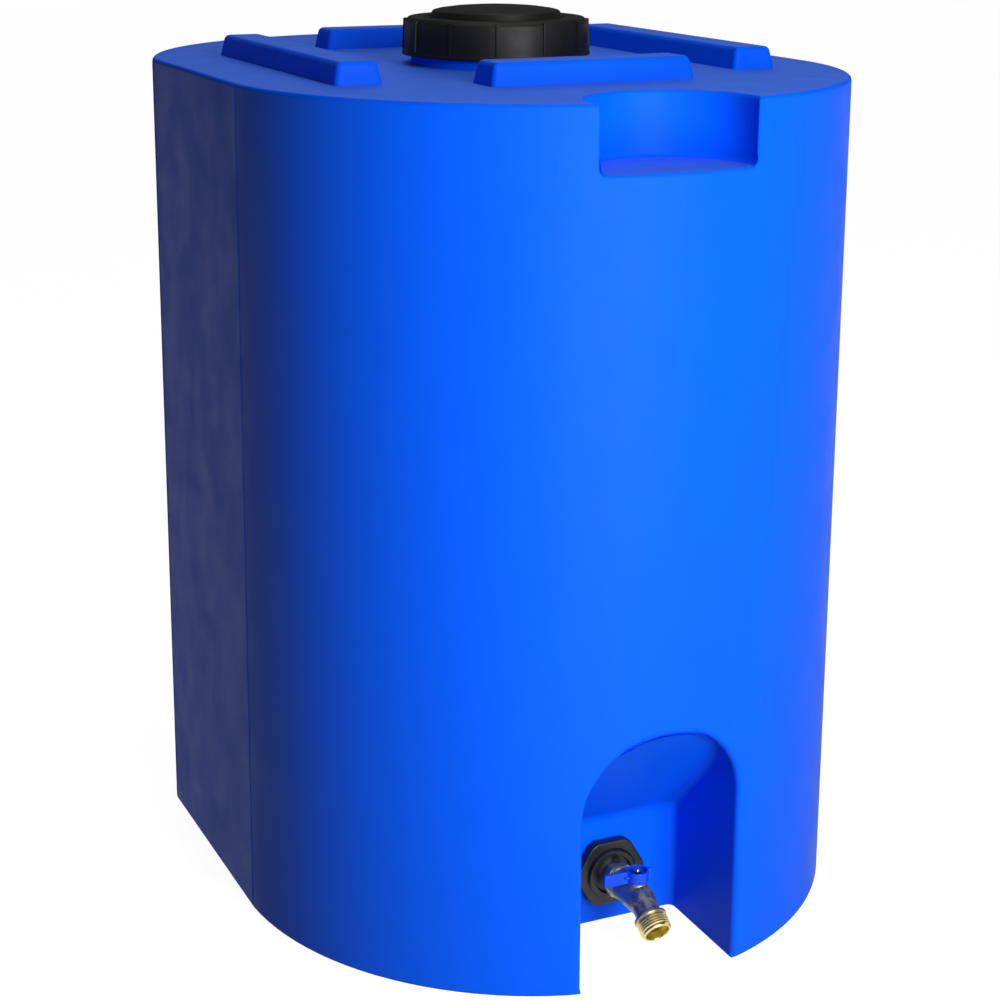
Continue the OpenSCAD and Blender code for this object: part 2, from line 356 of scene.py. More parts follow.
def linear(colour: str) -> tuple[float, float, float, float]:
    """Turns an sRGB hex colour into linear red, green, blue and alpha.

    Args:
        colour: A colour such as "#1456d8".

    Returns:
        The four linear values.
    """
    parts = [int(colour[i : i + 2], 16) / 255 for i in (1, 3, 5)]
    red, green, blue = (p / 12.92 if p <= 0.04045 else ((p + 0.055) / 1.055) ** 2.4 for p in parts)
    return red, green, blue, 1.0


def per_mm(size: float) -> float:
    """Gives the texture scale for a pattern whose cells are this many millimetres across."""
    return 1 / (size * MM)


def add_node(
    tree: bpy.types.NodeTree, kind: str, sockets: dict[str | int, object], **settings: object
) -> bpy.types.Node:
    """Adds a node, sets it and links it.

    Args:
        tree: The material's node tree.
        kind: The node's type name.
        sockets: A value, or an output to link, for each input by name or number.
        settings: The node's own settings.

    Returns:
        The node.
    """
    node = tree.nodes.new(kind)
    for name, value in settings.items():
        setattr(node, name, value)
    for key, value in sockets.items():
        if isinstance(value, bpy.types.NodeSocket):
            tree.links.new(value, node.inputs[key])
        else:
            node.inputs[key].default_value = value
    return node


def blank_material(name: str) -> tuple[bpy.types.Material, bpy.types.NodeTree, bpy.types.NodeSocket]:
    """Makes an empty material.

    Args:
        name: Its name.

    Returns:
        The material, its node tree and its object coordinates.
    """
    material = bpy.data.materials.new(name)
    material.use_nodes = True
    tree = material.node_tree
    tree.nodes.clear()
    place = tree.nodes.new("ShaderNodeTexCoord").outputs["Object"]
    return material, tree, place


def noise(
    tree: bpy.types.NodeTree, place: bpy.types.NodeSocket, cell_mm: float, detail: float, roughness: float
) -> bpy.types.NodeSocket:
    """Adds a noise pattern.

    Args:
        tree: The material's node tree.
        place: The coordinates it is laid out on.
        cell_mm: Size of its cells.
        detail: Number of finer layers.
        roughness: Strength of each finer layer.

    Returns:
        The pattern's value.
    """
    sockets = {"Vector": place, "Scale": per_mm(cell_mm), "Detail": detail, "Roughness": roughness}
    return add_node(tree, "ShaderNodeTexNoise", sockets).outputs[0]


def ramp(
    tree: bpy.types.NodeTree, value: bpy.types.NodeSocket,
    source: tuple[float, float], target: tuple[float, float],
) -> bpy.types.NodeSocket:
    """Maps one range of values to another, and clamps what lies outside.

    Args:
        tree: The material's node tree.
        value: The value to map.
        source: The range it comes in.
        target: The range it leaves in.

    Returns:
        The mapped value.
    """
    sockets = {
        "Value": value, "From Min": source[0], "From Max": source[1],
        "To Min": target[0], "To Max": target[1],
    }
    return add_node(tree, "ShaderNodeMapRange", sockets).outputs[0]


# The colour sockets of a Mix node come after its plain and vector ones.
MIX_A, MIX_B, MIX_OUT = 6, 7, 2


def blend(
    tree: bpy.types.NodeTree, share: bpy.types.NodeSocket, under: object, over: object
) -> bpy.types.NodeSocket:
    """Mixes two colours.

    Args:
        tree: The material's node tree.
        share: How much of the second shows.
        under: The first colour, or an output that gives it.
        over: The second colour, or an output that gives it.

    Returns:
        The mixed colour.
    """
    sockets = {0: share, MIX_A: under, MIX_B: over}
    return add_node(tree, "ShaderNodeMix", sockets, data_type="RGBA").outputs[MIX_OUT]


def relief(
    tree: bpy.types.NodeTree, height: bpy.types.NodeSocket, depth_mm: float, **over: bpy.types.NodeSocket
) -> bpy.types.NodeSocket:
    """Bends the shading normal by a pattern.

    Args:
        tree: The material's node tree.
        height: The pattern.
        depth_mm: Its depth.
        over: Normal, the coarser relief that it lies on, where there is one.

    Returns:
        The bent normal.
    """
    sockets = {"Height": height, "Distance": depth_mm * MM, "Strength": 1.0, **over}
    return add_node(tree, "ShaderNodeBump", sockets).outputs[0]


@dataclass(frozen=True)
class MouldedPlastic:
    """A moulded plastic or rubber: a skin with a fine peel, soft sheen, faint mottling, rub marks and, where
    set, a painted sheen on its level faces.
    """

    name: str
    colour: str
    deep: str
    rough: float
    peel_mm: float
    peel_depth_mm: float
    wave_mm: float
    wave_depth_mm: float
    rough_spread: float
    scuff: str
    scuff_share: float
    ior: float = 1.5
    coat: float = 0.0
    coat_rough: float = 0.12
    specular: float = 0.5
    # Share and colour of the painted sheen: a pale tint painted on faces that lie almost level, standing in
    # for the sky's reflection.
    painted_top_sheen: float = 0.0
    painted_top_sheen_colour: str = "#6f8fb4"
    rub_mm: float = 2.2

    def material(self) -> bpy.types.Material:
        """Builds the material and returns it."""
        material, tree, place = blank_material(self.name)
        peel = noise(tree, place, self.peel_mm, 2.0, 0.55)
        wave = noise(tree, place, self.wave_mm, 1.0, 0.4)
        cloud = noise(tree, place, self.wave_mm * 0.4, 5.0, 0.6)
        # Rub marks are drawn out along a line that leans a little from the upright.
        drawn = {"Vector": place, "Scale": (1.0, 1.0, 0.12), "Rotation": (0.35, 0.2, 0.0)}
        stretch = add_node(tree, "ShaderNodeMapping", drawn).outputs[0]
        rub = noise(tree, stretch, self.rub_mm, 6.0, 0.7)
        patch = ramp(tree, cloud, (0.55, 0.75), (0.0, 1.0))
        marks = ramp(tree, rub, (0.6, 0.78), (0.0, self.scuff_share))
        worn = add_node(tree, "ShaderNodeMath", {0: patch, 1: marks}, operation="MULTIPLY").outputs[0]
        base = blend(tree, cloud, linear(self.deep), linear(self.colour))
        rubbed = blend(tree, worn, base, linear(self.scuff))
        normal = tree.nodes.new("ShaderNodeNewGeometry").outputs["Normal"]
        upward = add_node(tree, "ShaderNodeSeparateXYZ", {0: normal}).outputs[2]
        # Painted sheen: a pale blue-grey is painted only where the skin lies almost level, standing in for
        # the sky's reflection on a top face.
        top_sheen_share = ramp(tree, upward, (0.9, 1.0), (0.0, self.painted_top_sheen))
        skin = blend(tree, top_sheen_share, rubbed, linear(self.painted_top_sheen_colour))
        spread = (self.rough - self.rough_spread, self.rough + self.rough_spread)
        gloss = ramp(tree, cloud, (0.3, 0.7), spread)
        swell = relief(tree, wave, self.wave_depth_mm)
        shader = add_node(
            tree, "ShaderNodeBsdfPrincipled",
            {
                "Base Color": skin, "Roughness": gloss, "IOR": self.ior,
                "Normal": relief(tree, peel, self.peel_depth_mm, Normal=swell),
                "Coat Weight": self.coat, "Coat Roughness": self.coat_rough,
                "Specular IOR Level": self.specular,
            },
        )
        add_node(tree, "ShaderNodeOutputMaterial", {"Surface": shader.outputs[0]})
        return material


@dataclass(frozen=True)
class Metal:
    """A bare or plated metal: cast or machined grain, with dull stains where hands and water reach."""

    name: str
    colour: str
    stain: str
    rough: float
    grain_mm: float
    grain_depth_mm: float
    stain_share: float
    stain_mm: float = 6.0
    patina: float = 0.0

    def material(self) -> bpy.types.Material:
        """Builds the material and returns it."""
        material, tree, place = blank_material(self.name)
        grain = noise(tree, place, self.grain_mm, 4.0, 0.6)
        blotch = noise(tree, place, self.stain_mm, 5.0, 0.65)
        dull = ramp(tree, blotch, (0.45, 0.7), (0.0, self.stain_share))
        shader = add_node(
            tree, "ShaderNodeBsdfPrincipled",
            {
                "Base Color": blend(tree, dull, linear(self.colour), linear(self.stain)),
                # A patina covers the metal where it is stained, so less of it shines through there.
                "Metallic": ramp(tree, dull, (0.0, 1.0), (1.0, 1.0 - self.patina)),
                "Roughness": ramp(tree, blotch, (0.3, 0.7), (self.rough * 0.8, self.rough * 1.4)),
                "Normal": relief(tree, grain, self.grain_depth_mm),
            },
        )
        add_node(tree, "ShaderNodeOutputMaterial", {"Surface": shader.outputs[0]})
        return material


class Finishes:
    """The materials of the tank, each made once."""

    def __init__(self) -> None:
        """Builds every material."""
        # Rotomoulded polyethylene copies the mould's blasted skin: a soft satin peel over slow waves, with a
        # pale sky sheen painted on its level deck.
        self.tank_blue = MouldedPlastic(
            "rotomoulded_polyethylene", colour="#005cf6", deep="#0056ee", rough=0.5, rough_spread=0.06,
            peel_mm=1.6, peel_depth_mm=0.05, wave_mm=90.0, wave_depth_mm=0.35,
            scuff="#2f78f6", scuff_share=0.1, specular=0.05, painted_top_sheen=0.3,
        ).material()
        # Injection-moulded polypropylene with a spark-eroded skin: dull black, greyer where rubbed.
        self.cap_black = MouldedPlastic(
            "moulded_polypropylene", colour="#15140f", deep="#0f0e0a", rough=0.5, rough_spread=0.06,
            peel_mm=0.5, peel_depth_mm=0.03, wave_mm=40.0, wave_depth_mm=0.05,
            scuff="#55534c", scuff_share=0.3, specular=0.3,
        ).material()
        # Glass-filled nylon: a little glossier than the cap.
        self.fitting_black = MouldedPlastic(
            "glass_filled_nylon", colour="#151411", deep="#0d0c0a", rough=0.4, rough_spread=0.08,
            peel_mm=0.4, peel_depth_mm=0.02, wave_mm=30.0, wave_depth_mm=0.04,
            scuff="#4a4945", scuff_share=0.3,
        ).material()
        # EPDM rubber has no gloss at all.
        self.rubber_black = MouldedPlastic(
            "epdm_rubber", colour="#1c1c1c", deep="#141414", rough=0.78, rough_spread=0.05,
            peel_mm=0.3, peel_depth_mm=0.02, wave_mm=20.0, wave_depth_mm=0.05,
            scuff="#4b4b4b", scuff_share=0.3,
        ).material()
        # Filled PTFE: white, waxy and smooth.
        self.seat_white = MouldedPlastic(
            "ptfe", colour="#e8e6df", deep="#dcdad2", rough=0.35, rough_spread=0.05,
            peel_mm=0.6, peel_depth_mm=0.005, wave_mm=12.0, wave_depth_mm=0.01,
            scuff="#c8c2b4", scuff_share=0.2, ior=1.35,
        ).material()
        # Powder coat on zinc: a smooth skin with a fine peel of its own.
        self.handle_blue = MouldedPlastic(
            "blue_powder_coat", colour="#0a4be0", deep="#0842c8", rough=0.34, rough_spread=0.05,
            peel_mm=0.9, peel_depth_mm=0.02, wave_mm=8.0, wave_depth_mm=0.02,
            scuff="#2f5fd8", scuff_share=0.1, coat=0.1, specular=0.25,
        ).material()
        # Nickel plate over cast brass: grey, half dull, with water stains.
        self.nickel_plate = Metal(
            "nickel_plate", colour="#9c9c92", stain="#5e6058", rough=0.36,
            grain_mm=0.35, grain_depth_mm=0.012, stain_share=0.9, patina=0.8,
        ).material()
        # Turned brass is bright, with a fine grain from the tool.
        self.bare_brass = Metal(
            "turned_brass", colour="#e6d58a", stain="#b09850", rough=0.3,
            grain_mm=0.25, grain_depth_mm=0.005, stain_share=0.3,
        ).material()
        # Hard chrome on the ball is close to a mirror.
        self.ball_chrome = Metal(
            "hard_chrome", colour="#c9ccd0", stain="#9a9da0", rough=0.08,
            grain_mm=0.4, grain_depth_mm=0.002, stain_share=0.2,
        ).material()
        # Bright zinc on the small steel parts.
        self.zinc_steel = Metal(
            "zinc_plated_steel", colour="#c4c6c8", stain="#77777a", rough=0.2,
            grain_mm=0.3, grain_depth_mm=0.01, stain_share=0.5,
        ).material()


# ---- the tank


@dataclass
class TankShell:
    """The hollow blue tank with its ridges, neck, carrying notch and spigot alcove."""

    finishes: Finishes
    deck: float = 710.0
    half_w: float = 262.0
    half_d: float = 348.0
    front_flat: float = 100.0
    back_flat: float = 137.0
    draft: float = 6.0
    wall: float = 5.0
    deck_round: float = 3.5
    ridge_h: float = 18.0
    ridge_w: float = 42.0
    ridge_lean: float = 4.5
    side_off: float = 177.0
    side_len: float = 300.0
    end_off: float = 183.0
    end_len: float = 180.0
    neck_r: float = 73.0
    neck_bore: float = 66.0
    rim: float = 742.0
    notch_w: float = 131.0
    notch_floor: float = 659.0
    notch_deep: float = 263.0
    alcove_w: float = 140.0
    alcove_h: float = 218.0
    alcove_y: float = 240.0
    lean_z: float = 98.0
    # Height over the arch at which the leaning ceiling would reach the front wall.
    lean_over: float = 4.0
    hole_r: float = 18.5
    # The outline has no corner between these distances from the middle, where the notch and the jambs end.
    chord_from: float = 57.0
    chord_to: float = 82.0

    def end_circle(self, flat: float) -> tuple[float, float]:
        """Finds the arc of an end.

        Args:
            flat: Distance from the middle of the tank to that end of the flat sides.

        Returns:
            The arc's radius and its centre's distance from the middle, towards that end.
        """
        bow = self.half_d - flat
        radius = (self.half_w**2 + bow**2) / (2 * bow)
        return radius, self.half_d - radius

    def outline(self, grow: float) -> list[tuple[float, float]]:
        """Gives the tank's plan as points, counterclockwise from the front left corner.

        Args:
            grow: How far outside the deck's plan it runs, or inside where it is negative.

        Returns:
            The points, the same number for every value of grow.
        """
        points: list[tuple[float, float]] = []
        for side, flat in ((-1, self.front_flat), (1, self.back_flat)):
            radius, centre = self.end_circle(flat)
            half = math.degrees(math.asin(self.half_w / radius))
            inner = math.degrees(math.asin(self.chord_from / radius))
            outer = math.degrees(math.asin(self.chord_to / radius))
            right = [inner * i / 4 for i in range(5)] + [outer + (half - outer) * i / 22 for i in range(23)]
            angles = [-a for a in reversed(right[1:])] + right
            for angle in angles:
                turn = math.radians(angle)
                across = (radius + grow) * math.sin(turn)
                if abs(angle) == half:
                    across = math.copysign(self.half_w + grow, angle)
                points.append((-side * across, side * (centre + (radius + grow) * math.cos(turn))))
        return points

    def block(self, inset: float, low: float, high: float) -> bmesh.types.BMesh:
        """Makes the drafted body between two heights.

        Args:
            inset: How far inside the tank's outer face it lies.
            low: Height of its lower face.
            high: Height of its upper face.

        Returns:
            The closed block.
        """
        bm = bmesh.new()
        loops = []
        for height in (low, high):
            grow = self.draft * (1 - height / self.deck) - inset
            verts = [bm.verts.new((x, y, height)) for x, y in self.outline(grow)]
            loops.append([bm.edges.new(pair) for pair in zip(verts, verts[1:] + verts[:1])])
        bmesh.ops.bridge_loops(bm, edges=loops[0] + loops[1])
        for loop in loops:
            bmesh.ops.edgeloop_fill(bm, edges=loop)
        bmesh.ops.recalc_face_normals(bm, faces=bm.faces)
        return bm

    def ridge(self, length: float, along_y: bool, off: float) -> bmesh.types.BMesh:
        """Makes one rounded deck ridge.

        Args:
            length: Its length at the deck.
            along_y: True for a side ridge, which runs from front to back.
            off: Its distance from the middle, with its sign.

        Returns:
            The ridge, sunk into the deck by the wall's thickness.
        """
        bm = bmesh.new()
        low = self.deck - self.wall
        height = self.ridge_h + self.wall
        size = Vector((length, self.ridge_w, height))
        middle = Vector((0, 0, low + height / 2))
        bmesh.ops.create_cube(bm, size=1.0, matrix=Matrix.LocRotScale(middle, None, size))
        for vert in bm.verts:
            if vert.co.z > self.deck:
                vert.co.x -= math.copysign(self.ridge_lean, vert.co.x)
                vert.co.y -= math.copysign(self.ridge_lean, vert.co.y)
        rounded(bm, 4.0, lambda point: point.z > low + 1, segments=4)
        turn = Matrix.Rotation(math.radians(90), 4, "Z") if along_y else Matrix()
        shift = Vector((off, 0, 0)) if along_y else Vector((0, off, 0))
        bmesh.ops.transform(bm, matrix=Matrix.Translation(shift) @ turn, verts=bm.verts)
        return bm

    def alcove(self, skin: float) -> bmesh.types.BMesh:
        """Makes the arched space in front of the spigot.

        Args:
            skin: How far it is grown, for the wall round it.

        Returns:
            The space as a closed solid, its inside corners rounded.
        """
        half = self.alcove_w / 2 + skin
        spring = self.alcove_h - self.alcove_w / 2
        back = -self.alcove_y + skin
        low = -4.0
        depth = self.half_d + self.draft - self.alcove_y
        outline = [(-half, low), (half, low)] + arc((0.0, spring), half, 0, 180, 28)
        # The prism is drawn upright in X and Z, and its length runs forwards from the back wall.
        upright = Matrix.Translation((0, back, 0)) @ Matrix.Rotation(math.radians(90), 4, "X")
        bm = prism(outline, 0.0, depth + BEYOND, upright)
        slope = (self.alcove_h + self.lean_over - self.lean_z) / depth
        rise = skin * (math.hypot(1, slope) - slope)
        whole = list(bm.verts) + list(bm.edges) + list(bm.faces)
        bmesh.ops.bisect_plane(
            bm, geom=whole, dist=TINY, plane_co=(0, back, self.lean_z + rise), plane_no=(0, slope, 1),
            clear_outer=True,
        )
        bmesh.ops.holes_fill(bm, edges=[edge for edge in bm.edges if edge.is_boundary], sides=0)
        bmesh.ops.recalc_face_normals(bm, faces=bm.faces)
        front = back - depth - BEYOND
        rounded(bm, 6.0, lambda point: point.z > low + 1 and point.y > front + 1, segments=4, least=25.0)
        return bm

    def notch(self, skin: float) -> bmesh.types.BMesh:
        """Makes the pocket in the front edge of the deck.

        Args:
            skin: How far it is grown, for the wall round it.

        Returns:
            The pocket as a closed solid, rounded along its floor.
        """
        radius, centre = self.end_circle(self.front_flat)
        edge = centre + math.sqrt(radius**2 - (self.notch_w / 2) ** 2)
        sag = edge - self.notch_deep
        bend = ((self.notch_w / 2) ** 2 + sag**2) / (2 * sag)
        start = math.degrees(math.asin((edge - self.notch_deep - bend) / bend))
        middle = (0.0, -self.notch_deep - bend)
        side = self.notch_w / 2 + skin
        back = arc(middle, bend + skin, -start, 180 + start, 28)
        front = -self.half_d - self.draft - BEYOND
        outline = [(side, front), (side, back[0][1]), *back[1:-1], (-side, back[-1][1]), (-side, front)]
        floor = self.notch_floor - skin
        bm = prism(outline, floor, self.deck + BEYOND)
        return rounded(bm, 5.0, lambda point: point.z < floor + 1 and point.y > front + 1, segments=4)

    def neck(self) -> bmesh.types.BMesh:
        """Makes the solid neck that the cap screws on to."""
        low, r, edge = self.deck - self.wall, self.neck_r, 1.5
        profile = [
            (0, low), (r, low), (r, self.deck), (r, self.rim - edge), (r - edge, self.rim), (0, self.rim),
        ]
        return turned(profile, Matrix.Translation(NECK), 128)

    def parting_lines(self) -> list[bmesh.types.BMesh]:
        """Makes the fine upright lines that the mould's joints leave where the flat sides end."""
        lines = []
        sunk, proud, half, foot = 1.0, 0.4, 1.6, 4.0
        for side in (-1, 1):
            for flat in (-self.front_flat, self.back_flat):
                at = side * (self.half_w + self.draft)
                inner = at - side * sunk
                section = [(inner, flat - half), (at + side * proud, flat), (inner, flat + half)]
                line = prism(section, foot, self.deck - self.deck_round)
                for vert in line.verts:
                    vert.co.x -= side * self.draft * vert.co.z / self.deck
                lines.append(line)
        return lines

    def build(self) -> None:
        """Builds the tank and its neck's thread."""
        outer = self.block(0.0, 0.0, self.deck)
        rounded(outer, self.deck_round, lambda point: point.z > self.deck - 1, segments=6)
        rounded(outer, 3.0, lambda point: point.z < 1, segments=3)
        hollow = carved(
            self.block(self.wall, self.wall, self.deck - self.wall),
            (Join.CUT, self.alcove(self.wall)),
            (Join.CUT, self.notch(self.wall)),
        )
        at_neck = Matrix.Translation(NECK)
        bore = cylinder(self.neck_bore, self.deck - 30, self.rim + BEYOND, at_neck, 128)
        upright = Matrix.Translation(SPIGOT) @ Matrix.Rotation(math.radians(90), 4, "X")
        hole = cylinder(self.hole_r, -3 * self.wall, 3 * self.wall, upright, 64)
        sides = [self.ridge(self.side_len, True, side * self.side_off) for side in (-1, 1)]
        ends = [self.ridge(self.end_len, False, side * self.end_off) for side in (-1, 1)]
        shell = carved(
            outer,
            *((Join.ADD, solid) for solid in (*sides, *ends, self.neck())),
            (Join.CUT, hollow),
            (Join.CUT, bore),
            (Join.CUT, self.alcove(0.0)),
            (Join.CUT, self.notch(0.0)),
            (Join.CUT, hole),
        )
        radius, centre = self.end_circle(self.front_flat)

        def on_front(point: Vector) -> bool:
            """Says whether a point lies on the front wall's outer face."""
            grow = self.draft * (1 - point.z / self.deck)
            return math.hypot(point.x, point.y + centre) > radius + grow - 4.0

        def on_jambs(point: Vector) -> bool:
            """Says whether a point lies on the alcove's front edge, above the foot."""
            inside = abs(point.x) < self.alcove_w / 2 + 2 and 0.5 < point.z < self.alcove_h + 8
            return inside and on_front(point)

        def on_notch(point: Vector) -> bool:
            """Says whether a point lies on the notch's upper or front edge."""
            inside = abs(point.x) < self.notch_w / 2 + 1 and point.y < -self.notch_deep + 2
            return inside and point.z > self.notch_floor - 3 and (on_front(point) or point.z > self.deck - 1)

        rounded(shell, 7.0, on_jambs, segments=4, convex_only=True)
        rounded(shell, 3.5, on_notch, segments=3, convex_only=True)
        section = tooth(self.neck_r - 0.6, self.neck_r + 2.2, self.deck + 13.0, 2.0, 1.2)
        thread = helix(section, CAP_PITCH, 2.0, at_neck)
        whole = merged(shell, thread, *self.parting_lines())
        finished(whole, "tank", Body.TANK, "tank_shell", "tank_blue", self.finishes.tank_blue)


# ---- the cap


@dataclass
class ScrewCap:
    """The black screw cap with its grip ribs, raised crown and inner thread."""

    finishes: Finishes
    bottom: float = 718.0
    roof: float = 745.2
    rim_r: float = 81.0
    wall_r: float = 79.0
    bore_r: float = 76.0
    ribs: int = 12
    rib_turn: float = 6.5

    def build(self) -> None:
        """Builds the cap with its ribs, the nub of its moulding gate and its inner thread."""
        z, top = self.bottom, self.roof
        profile = [
            (0, top), (self.bore_r, top), (self.bore_r, z), (self.rim_r, z), (self.rim_r, z + 1.6),
            (self.wall_r + 0.2, z + 4.8), (self.wall_r - 0.7, top + 0.6), (self.wall_r - 4.0, top + 3.9),
            (60.0, top + 4.0), (59.0, top + 2.6), (57.0, top + 2.6), (54.8, top + 8.6), (53.4, top + 9.4),
            (49.5, top + 10.4), (38.0, top + 12.0), (25.0, top + 13.0), (4.0, top + 13.7), (0, top + 13.7),
        ]
        cap = turned(profile, Matrix(), 144)
        rounded(cap, 0.7, segments=2, least=28.0)
        grips = []
        for index in range(self.ribs):
            rib = box_solid((self.wall_r - 6.0, -1.7, z + 3.4), (self.wall_r + 1.7, 1.7, top + 2.6))
            for vert in rib.verts:
                if vert.co.z > top and vert.co.x > self.wall_r:
                    vert.co.x -= 1.2
            rounded(rib, 0.6, segments=2)
            turn = Matrix.Rotation(math.radians(self.rib_turn + index * 360 / self.ribs), 4, "Z")
            bmesh.ops.transform(rib, matrix=turn, verts=rib.verts)
            grips.append(rib)
        nub = turned(
            [(0, top + 12.6), (2.1, top + 12.6), (2.1, top + 13.9), (1.5, top + 14.3), (0, top + 14.3)],
            Matrix(), 32,
        )
        section = tooth(self.bore_r + 0.5, self.bore_r - 2.4, z + 1.0, 2.0, 1.0)
        whole = merged(cap, *grips, nub, helix(section, CAP_PITCH, 1.5))
        bmesh.ops.transform(whole, matrix=Matrix.Translation(NECK), verts=whole.verts)
        finished(whole, "screw_cap", Body.CAP, "filler_cap", "cap_black", self.finishes.cap_black)


# ---- the spigot


@dataclass
class Spigot:
    """The bulkhead fitting and the quarter-turn hose valve."""

    finishes: Finishes
    ball_at: float = 56.0
    bend_at: float = 66.0
    dip: float = 30.0
    hose_r: float = 13.2
    hose_from: float = 16.0
    hose_to: float = 31.0
    way_r: float = 5.5
    stem_hole_r: float = 3.15
    small_pitch: float = 1.8
    # American garden hose thread: 11.5 turns to the inch.
    hose_pitch: float = 25.4 / 11.5

    def frame_out(self) -> Matrix:
        """Gives the frame whose Z runs forwards from the wall and whose Y runs up."""
        return Matrix.Translation(SPIGOT) @ Matrix.Rotation(math.radians(90), 4, "X")

    def frame_stem(self) -> Matrix:
        """Gives the frame at the ball's centre whose Z runs up."""
        return Matrix.Translation(SPIGOT + Vector((0, -self.ball_at, 0)))

    @staticmethod
    def hexagon(flats: float, corner_r: float, low: float, high: float, soften: float) -> bmesh.types.BMesh:
        """Makes a hexagon with turned corners, its flats facing up and down.

        Args:
            flats: Distance across the flats.
            corner_r: Radius the corners are turned to.
            low: Height of its lower face.
            high: Height of its upper face.
            soften: Radius of its edges.

        Returns:
            The closed hexagon.
        """
        half = flats / 2
        reach = math.sqrt(corner_r**2 - half**2)
        lean = math.degrees(math.atan2(half, reach))
        points: list[tuple[float, float]] = []
        for corner in range(6):
            middle = corner * 60
            spread = 30 - (90 - lean)
            points += arc((0, 0), corner_r, middle - spread, middle + spread, 4)
        bm = prism(points, low, high)
        return rounded(bm, soften, segments=2, least=60.0)

    def bulkhead(self) -> None:
        """Builds the black fitting that clamps the wall."""
        hexagon = self.hexagon(58.0, 31.5, 2.0, 11.0, 1.4)
        collar = turned([(0, 10), (23.0, 10), (22.6, 12.6), (21.4, 14.3), (20.6, 14.5), (0, 14.5)])
        barrel = turned([(0, -40), (17.0, -40), (18, -39), (18, 3), (0, 3)])
        well = turned([(0, 11.0), (16.6, 11.0), (17.6, 14.0), (18.2, 16), (0, 16)])
        bore = cylinder(13.25, -50, 20)
        solid = carved(hexagon, (Join.ADD, collar), (Join.ADD, barrel), (Join.CUT, well), (Join.CUT, bore))
        thread = helix([(17.6, -39.0), (18.0, -38.2), (17.6, -37.4)], self.small_pitch, 17.0, steps=36)
        whole = merged(solid, thread)
        bmesh.ops.transform(whole, matrix=self.frame_out(), verts=whole.verts)
        finished(whole, "bulkhead", Body.TANK, "bulkhead_body", "fitting_black", self.finishes.fitting_black)

    def inlet(self) -> None:
        """Builds the threaded collar that screws into the bulkhead."""
        pipe = turned([(0, -4), (12.4, -4), (13.1, -3), (13.1, 21), (0, 21)], Matrix(), 72)
        nut = self.hexagon(28.0, 15.5, 20.0, 28.0, 0.7)
        collar = turned(
            [(0, 27), (13.6, 27), (13.6, 29.0), (13.0, 29.6), (13.0, 32.6), (13.6, 33.2), (13.6, 33.9),
             (0, 33.9)],
            Matrix(), 72,
        )
        nose = cylinder(10.4, 30, 45.6, steps=64)
        bore = cylinder(self.way_r, -8, 60, steps=48)
        solid = carved(pipe, (Join.ADD, nut), (Join.ADD, collar), (Join.ADD, nose), (Join.CUT, bore))
        thread = helix([(12.7, 12.0), (13.15, 12.7), (12.7, 13.4)], self.small_pitch, 4.0, steps=36)
        whole = merged(solid, thread)
        bmesh.ops.transform(whole, matrix=self.frame_out(), verts=whole.verts)
        finished(whole, "inlet_collar", Body.TANK, "inlet_piece", "nickel_plate", self.finishes.nickel_plate)

    def valve(self) -> None:
        """Builds the valve's cast body, its bent outlet and its hose thread."""
        stem = Matrix.Translation((0, 0, self.ball_at)) @ Matrix.Rotation(math.radians(-90), 4, "X")
        hose = Matrix.Translation((0, 0, self.bend_at)) @ Matrix.Rotation(math.radians(self.dip), 4, "X")
        barrel = turned(
            [(0, 34), (11.7, 34), (12.5, 34.8), (12.5, 40.0), (12.0, 41.0), (12.0, 50.0), (12.5, 52.0),
             (12.5, 64), *arc((0.0, 64.0), 12.5, 15, 75, 4), (0, 76.5)],
            Matrix(), 72,
        )
        boss = turned([(0, 0), (8.4, 0), (8.4, 11.5), (7.5, 13.0), (7.5, 15.4), (6.9, 16), (0, 16)], stem, 48)
        outlet = turned(
            [(0, 0), (11.2, 0), (10.8, 6.0), (10.8, 14.2), (13.2, 14.8), (13.8, 15.4), (13.8, 17.2),
             (13.3, 17.9), (12.2, 18.3), (12.2, 30.2), (11.5, self.hose_to), (0, self.hose_to)],
            hose, 72,
        )
        ways = [
            turned([(0, 30), (10.45, 30), (10.45, 45.6), (9.0, 45.7), (9.0, 66.4), (0, 66.4)], Matrix(), 64),
            cylinder(self.way_r, -6, 30, hose, 48),
            turned([(0, 19), (9.8, 19), (9.8, 30.0), (10.8, 32), (0, 32)], hose, 64),
            turned(
                [(0, 0), (4.7, 0), (4.7, 10.6), (self.stem_hole_r, 10.6), (self.stem_hole_r, 13), (5.2, 13),
                 (5.2, 20), (0, 20)],
                stem, 48,
            ),
        ]
        solid = carved(barrel, (Join.ADD, boss), (Join.ADD, outlet), *((Join.CUT, way) for way in ways))
        section = tooth(12.0, self.hose_r, 19.2, 0.8, 0.25)
        whole = merged(solid, helix(section, self.hose_pitch, 4.2, hose, steps=64))
        mouth = hose.inverted()
        # Past the collar the outlet is bare brass.
        bare_from, margin = self.hose_from + 1.9, 0.2
        for face in whole.faces:
            local = mouth @ face.calc_center_median()
            bare = local.z > bare_from and math.hypot(local.x, local.y) < self.hose_r + margin
            face.material_index = 1 if bare else 0
        bmesh.ops.transform(whole, matrix=self.frame_out(), verts=whole.verts)
        finished(
            whole, "valve_casting", Body.TANK, "valve_body", "nickel_plate",
            self.finishes.nickel_plate, self.finishes.bare_brass,
        )

